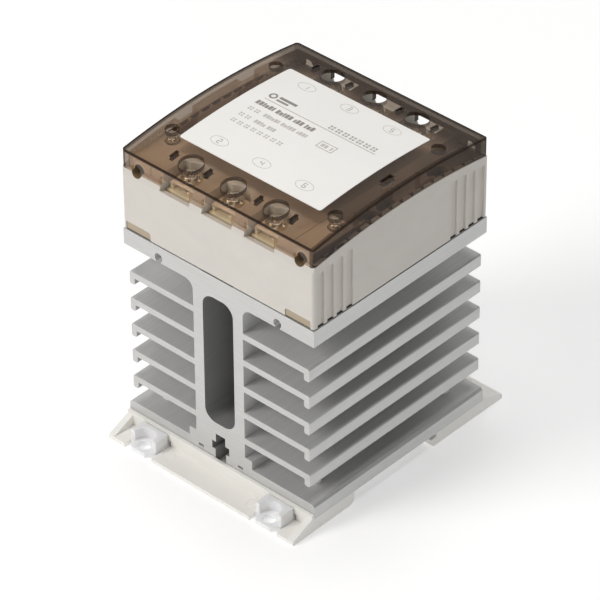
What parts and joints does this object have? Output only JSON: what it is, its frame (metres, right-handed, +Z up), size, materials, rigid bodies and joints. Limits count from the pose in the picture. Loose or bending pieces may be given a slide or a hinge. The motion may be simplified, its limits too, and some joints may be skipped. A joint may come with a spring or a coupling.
{
  "type": "solid state relay",
  "caption": "Solid state relay with smoked arched cover and screw terminals on a finned aluminium heat sink, on plastic feet with sliding latches for a mounting rail.",
  "frame": {"origin": "centre of the footprint, on the underside of the feet", "axes": "+Z up through the cover, -Y towards the load terminals and the sliders, +X towards the indicator"},
  "size_m": [0.08, 0.1, 0.1107],
  "materials": {
    "extrusion": "clear anodised, satin",
    "foot_plastic": "moulded, fine matt",
    "nylon": "translucent natural nylon, semi-gloss",
    "zinc_steel": "zinc plated",
    "nickel_steel": "nickel plated",
    "seal": "silicone strip",
    "thermal_pad": "silicone pad",
    "black_epoxy": "moulded epoxy",
    "tinned": "tinned",
    "housing_plastic": "moulded, fine matt",
    "tan_plastic": "moulded, matt",
    "board": "solder mask, semi-gloss",
    "white_epoxy": "moulded",
    "capacitor_case": "gloss",
    "resistor_body": "satin",
    "varistor_coat": "gloss epoxy coat",
    "led_red": "clear red",
    "clear_plastic": "clear",
    "brass": "satin",
    "clamp_brass": "satin",
    "smoked_cover": "smoked clear polycarbonate, polished",
    "label": "satin film"
  },
  "bodies": {
    "relay": {"heat_sink": "extrusion", "front_foot": "foot_plastic", "rear_foot": "foot_plastic", "base_screws": "zinc_steel", "base_nuts": "zinc_steel", "gasket": "seal", "thermal_pads": "thermal_pad", "thyristor_modules": "black_epoxy", "module_pins": "tinned", "module_screws": "zinc_steel", "housing": "housing_plastic", "line_terminal_block": "housing_plastic", "load_terminal_block": "housing_plastic", "inner_lid": "housing_plastic", "corner_tabs": "tan_plastic", "housing_screws": "zinc_steel", "circuit_board": "board", "optocouplers": "white_epoxy", "snubber_capacitors": "capacitor_case", "snubber_resistors": "resistor_body", "varistors": "varistor_coat", "driver_chip": "black_epoxy", "indicator_led": "led_red", "light_guide": "clear_plastic", "line_busbars": "brass", "load_busbars": "brass", "terminal_nuts": "zinc_steel", "control_blocks": "brass"},
    "slider_left": {"slider_left": "nylon"},
    "slider_right": {"slider_right": "nylon"},
    "cover": {"cover": "smoked_cover", "label": "label"},
    "line_clamp_1": {"line_clamp_1": "clamp_brass"},
    "line_screw_1": {"line_screw_1": "nickel_steel"},
    "line_clamp_2": {"line_clamp_2": "clamp_brass"},
    "line_screw_2": {"line_screw_2": "nickel_steel"},
    "line_clamp_3": {"line_clamp_3": "clamp_brass"},
    "line_screw_3": {"line_screw_3": "nickel_steel"},
    "load_clamp_1": {"load_clamp_1": "clamp_brass"},
    "load_screw_1": {"load_screw_1": "nickel_steel"},
    "load_clamp_2": {"load_clamp_2": "clamp_brass"},
    "load_screw_2": {"load_screw_2": "nickel_steel"},
    "load_clamp_3": {"load_clamp_3": "clamp_brass"},
    "load_screw_3": {"load_screw_3": "nickel_steel"},
    "control_pad_1": {"control_pad_1": "brass"},
    "control_screw_1": {"control_screw_1": "nickel_steel"},
    "control_pad_2": {"control_pad_2": "brass"},
    "control_screw_2": {"control_screw_2": "nickel_steel"}
  },
  "joints": [
    {"name": "slider_left_pull", "type": "slide", "parent": "relay", "child": "slider_left", "axis": [0, -1, 0], "range_m": [0, 0.005]},
    {"name": "slider_right_pull", "type": "slide", "parent": "relay", "child": "slider_right", "axis": [0, -1, 0], "range_m": [0, 0.005]},
    {"name": "cover_lift", "type": "slide", "parent": "relay", "child": "cover", "axis": [0, 0, 1], "range_m": [0, 0.04]},
    {"name": "line_1_clamp_lift", "type": "slide", "parent": "relay", "child": "line_clamp_1", "axis": [0, 0, 1], "range_m": [0, 0.0028]},
    {"name": "line_1_screw_turn", "type": "hinge", "parent": "line_clamp_1", "child": "line_screw_1", "pos_m": [-0.0176, 0.032, 0.1], "axis": [0, 0, 1], "range_deg": [0, 1440]},
    {"name": "line_2_clamp_lift", "type": "slide", "parent": "relay", "child": "line_clamp_2", "axis": [0, 0, 1], "range_m": [0, 0.0028]},
    {"name": "line_2_screw_turn", "type": "hinge", "parent": "line_clamp_2", "child": "line_screw_2", "pos_m": [0, 0.032, 0.1], "axis": [0, 0, 1], "range_deg": [0, 1440]},
    {"name": "line_3_clamp_lift", "type": "slide", "parent": "relay", "child": "line_clamp_3", "axis": [0, 0, 1], "range_m": [0, 0.0028]},
    {"name": "line_3_screw_turn", "type": "hinge", "parent": "line_clamp_3", "child": "line_screw_3", "pos_m": [0.0176, 0.032, 0.1], "axis": [0, 0, 1], "range_deg": [0, 1440]},
    {"name": "load_1_clamp_lift", "type": "slide", "parent": "relay", "child": "load_clamp_1", "axis": [0, 0, 1], "range_m": [0, 0.0028]},
    {"name": "load_1_screw_turn", "type": "hinge", "parent": "load_clamp_1", "child": "load_screw_1", "pos_m": [-0.0176, -0.032, 0.1], "axis": [0, 0, 1], "range_deg": [0, 1440]},
    {"name": "load_2_clamp_lift", "type": "slide", "parent": "relay", "child": "load_clamp_2", "axis": [0, 0, 1], "range_m": [0, 0.0028]},
    {"name": "load_2_screw_turn", "type": "hinge", "parent": "load_clamp_2", "child": "load_screw_2", "pos_m": [0, -0.032, 0.1], "axis": [0, 0, 1], "range_deg": [0, 1440]},
    {"name": "load_3_clamp_lift", "type": "slide", "parent": "relay", "child": "load_clamp_3", "axis": [0, 0, 1], "range_m": [0, 0.0028]},
    {"name": "load_3_screw_turn", "type": "hinge", "parent": "load_clamp_3", "child": "load_screw_3", "pos_m": [0.0176, -0.032, 0.1], "axis": [0, 0, 1], "range_deg": [0, 1440]},
    {"name": "control_1_pad_lift", "type": "slide", "parent": "relay", "child": "control_pad_1", "axis": [0, 0, 1], "range_m": [0, 0.0015]},
    {"name": "control_1_screw_turn", "type": "hinge", "parent": "control_pad_1", "child": "control_screw_1", "pos_m": [-0.0338, -0.0235, 0.1], "axis": [0, 0, 1], "range_deg": [0, 1080]},
    {"name": "control_2_pad_lift", "type": "slide", "parent": "relay", "child": "control_pad_2", "axis": [0, 0, 1], "range_m": [0, 0.0015]},
    {"name": "control_2_screw_turn", "type": "hinge", "parent": "control_pad_2", "child": "control_screw_2", "pos_m": [0.0338, -0.0235, 0.1], "axis": [0, 0, 1], "range_deg": [0, 1080]}
  ],
  "couplings": [
    {"joint": "line_1_screw_turn", "follows": "line_1_clamp_lift", "rad_per_m": 8975.9},
    {"joint": "line_2_screw_turn", "follows": "line_2_clamp_lift", "rad_per_m": 8975.9},
    {"joint": "line_3_screw_turn", "follows": "line_3_clamp_lift", "rad_per_m": 8975.9},
    {"joint": "load_1_screw_turn", "follows": "load_1_clamp_lift", "rad_per_m": 8975.9},
    {"joint": "load_2_screw_turn", "follows": "load_2_clamp_lift", "rad_per_m": 8975.9},
    {"joint": "load_3_screw_turn", "follows": "load_3_clamp_lift", "rad_per_m": 8975.9},
    {"joint": "control_1_screw_turn", "follows": "control_1_pad_lift", "rad_per_m": 12566},
    {"joint": "control_2_screw_turn", "follows": "control_2_pad_lift", "rad_per_m": 12566}
  ]
}
